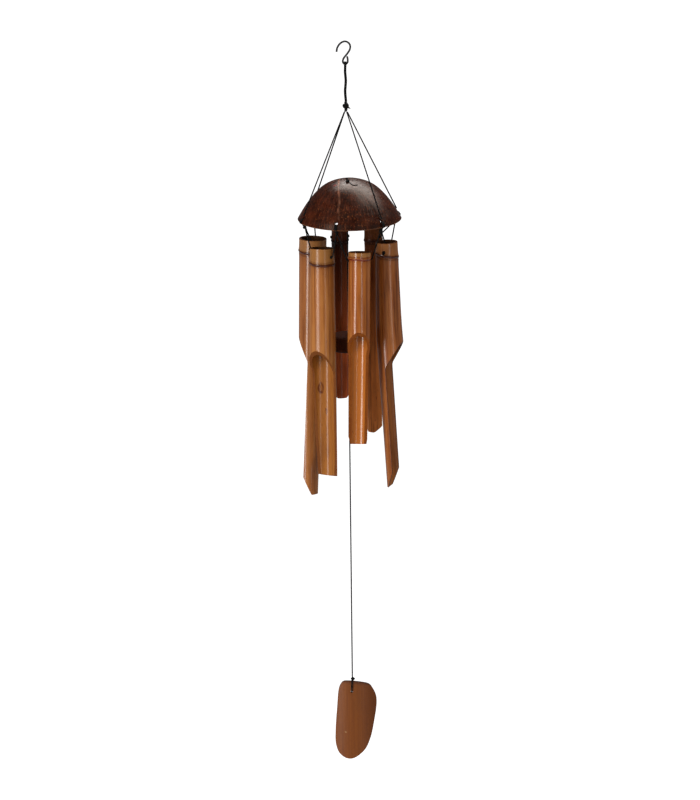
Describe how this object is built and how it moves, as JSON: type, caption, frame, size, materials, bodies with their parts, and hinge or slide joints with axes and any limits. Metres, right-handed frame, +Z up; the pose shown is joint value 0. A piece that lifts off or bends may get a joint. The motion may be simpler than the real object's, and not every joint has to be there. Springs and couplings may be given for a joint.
{
  "type": "bamboo wind chime",
  "caption": "Hanging wind chime: a coconut-shell dome on cords under a wire hook, scooped bamboo tubes slung from its rim, and a wooden clapper and a bamboo wind sail on a centre line.",
  "frame": {"origin": "the seat inside the top of the wire hook, where it rests on a pin or branch", "axes": "+Z up along the hang line, front of the chime towards -Y, +X to the right seen from the front"},
  "size_m": [0.1257, 0.1252, 0.8824],
  "materials": {
    "black_wire": "black coated steel wire, slightly glossy",
    "waxed_cord": "black twisted waxed cord",
    "coconut_shell": "polished dark red-brown coconut shell",
    "lacquered_bamboo": "scorched and lacquered brown bamboo, satin gloss",
    "dark_wood": "near-black stained wood or coconut, satin"
  },
  "bodies": {
    "hook": {"hook": "black_wire"},
    "hanger": {"hanger_loop_1": "waxed_cord", "hanger_loop_2": "waxed_cord"},
    "gather": {"gather_knot": "waxed_cord"},
    "dome": {"suspension_cord_1": "waxed_cord", "suspension_cord_2": "waxed_cord", "suspension_cord_3": "waxed_cord", "suspension_cord_4": "waxed_cord", "coconut_dome": "coconut_shell", "crown_knot": "waxed_cord", "rim_loop_1": "waxed_cord", "rim_loop_2": "waxed_cord", "rim_loop_3": "waxed_cord", "rim_loop_4": "waxed_cord", "rim_loop_5": "waxed_cord", "rim_loop_6": "waxed_cord", "tie_knot_1": "waxed_cord", "tie_knot_2": "waxed_cord", "tie_knot_3": "waxed_cord", "tie_knot_4": "waxed_cord", "tie_knot_5": "waxed_cord", "tie_knot_6": "waxed_cord"},
    "tube_1_slung": {"tube_1": "lacquered_bamboo", "sling_1": "waxed_cord"},
    "tube_2_slung": {"tube_2": "lacquered_bamboo", "sling_2": "waxed_cord"},
    "tube_3_slung": {"tube_3": "lacquered_bamboo", "sling_3": "waxed_cord"},
    "tube_4_slung": {"tube_4": "lacquered_bamboo", "sling_4": "waxed_cord"},
    "tube_5_slung": {"tube_5": "lacquered_bamboo", "sling_5": "waxed_cord"},
    "tube_6_slung": {"tube_6": "lacquered_bamboo", "sling_6": "waxed_cord"},
    "centre_line": {"centre_cord": "waxed_cord", "stop_knot": "waxed_cord"},
    "clapper": {"clapper": "dark_wood"},
    "sail_line": {"sail_cord": "waxed_cord"},
    "sail_swivel": {"sail_knot": "waxed_cord"},
    "sail": {"sail": "lacquered_bamboo", "sail_loop": "waxed_cord"}
  },
  "joints": [
    {"name": "hanger_swing", "type": "hinge", "parent": "hook", "child": "hanger", "pos_m": [0, 0, -0.027], "axis": [1, 0, 0], "range_deg": [-20, 20]},
    {"name": "hanger_twist", "type": "hinge", "parent": "hanger", "child": "gather", "pos_m": [0, 0, -0.0785], "axis": [0, 0, 1], "range_deg": [-90, 90]},
    {"name": "dome_swing", "type": "hinge", "parent": "gather", "child": "dome", "pos_m": [0, 0, -0.0785], "axis": [0, 1, 0], "range_deg": [-15, 15]},
    {"name": "tube_1_swing", "type": "hinge", "parent": "dome", "child": "tube_1_slung", "pos_m": [-0.04515, 0.01169, -0.2208], "axis": [-0.1822, -0.9833, 0], "range_deg": [-28, 1]},
    {"name": "tube_2_swing", "type": "hinge", "parent": "dome", "child": "tube_2_slung", "pos_m": [-0.03163, -0.03544, -0.2208], "axis": [0.7431, -0.6691, 0], "range_deg": [-28, 1]},
    {"name": "tube_3_swing", "type": "hinge", "parent": "dome", "child": "tube_3_slung", "pos_m": [0.01398, -0.0466, -0.2208], "axis": [0.9753, 0.2207, 0], "range_deg": [-28, 1]},
    {"name": "tube_4_swing", "type": "hinge", "parent": "dome", "child": "tube_4_slung", "pos_m": [0.04943, -0.01146, -0.2208], "axis": [0.2924, 0.9563, 0], "range_deg": [-28, 1]},
    {"name": "tube_5_swing", "type": "hinge", "parent": "dome", "child": "tube_5_slung", "pos_m": [0.03801, 0.03801, -0.2208], "axis": [-0.7071, 0.7071, 0], "range_deg": [-28, 1]},
    {"name": "tube_6_swing", "type": "hinge", "parent": "dome", "child": "tube_6_slung", "pos_m": [-0.01096, 0.04999, -0.2208], "axis": [-0.96, -0.2798, 0], "range_deg": [-28, 1]},
    {"name": "clapper_line_swing", "type": "hinge", "parent": "dome", "child": "centre_line", "pos_m": [0.0004, -0.001, -0.16932], "axis": [1, 0, 0], "range_deg": [-1.4, 2.2]},
    {"name": "clapper_tilt", "type": "hinge", "parent": "centre_line", "child": "clapper", "pos_m": [0.0004, -0.001, -0.3669], "axis": [0, 1, 0], "range_deg": [-5, 5]},
    {"name": "sail_line_swing", "type": "hinge", "parent": "centre_line", "child": "sail_line", "pos_m": [0.0004, -0.001, -0.37935], "axis": [0, 1, 0], "range_deg": [-9, 9]},
    {"name": "sail_twist", "type": "hinge", "parent": "sail_line", "child": "sail_swivel", "pos_m": [0.0004, -0.001, -0.7819], "axis": [0, 0, 1], "range_deg": [-180, 180]},
    {"name": "sail_flap", "type": "hinge", "parent": "sail_swivel", "child": "sail", "pos_m": [0.0004, -0.001, -0.7819], "axis": [1, 0, 0], "range_deg": [-35, 35]}
  ]
}
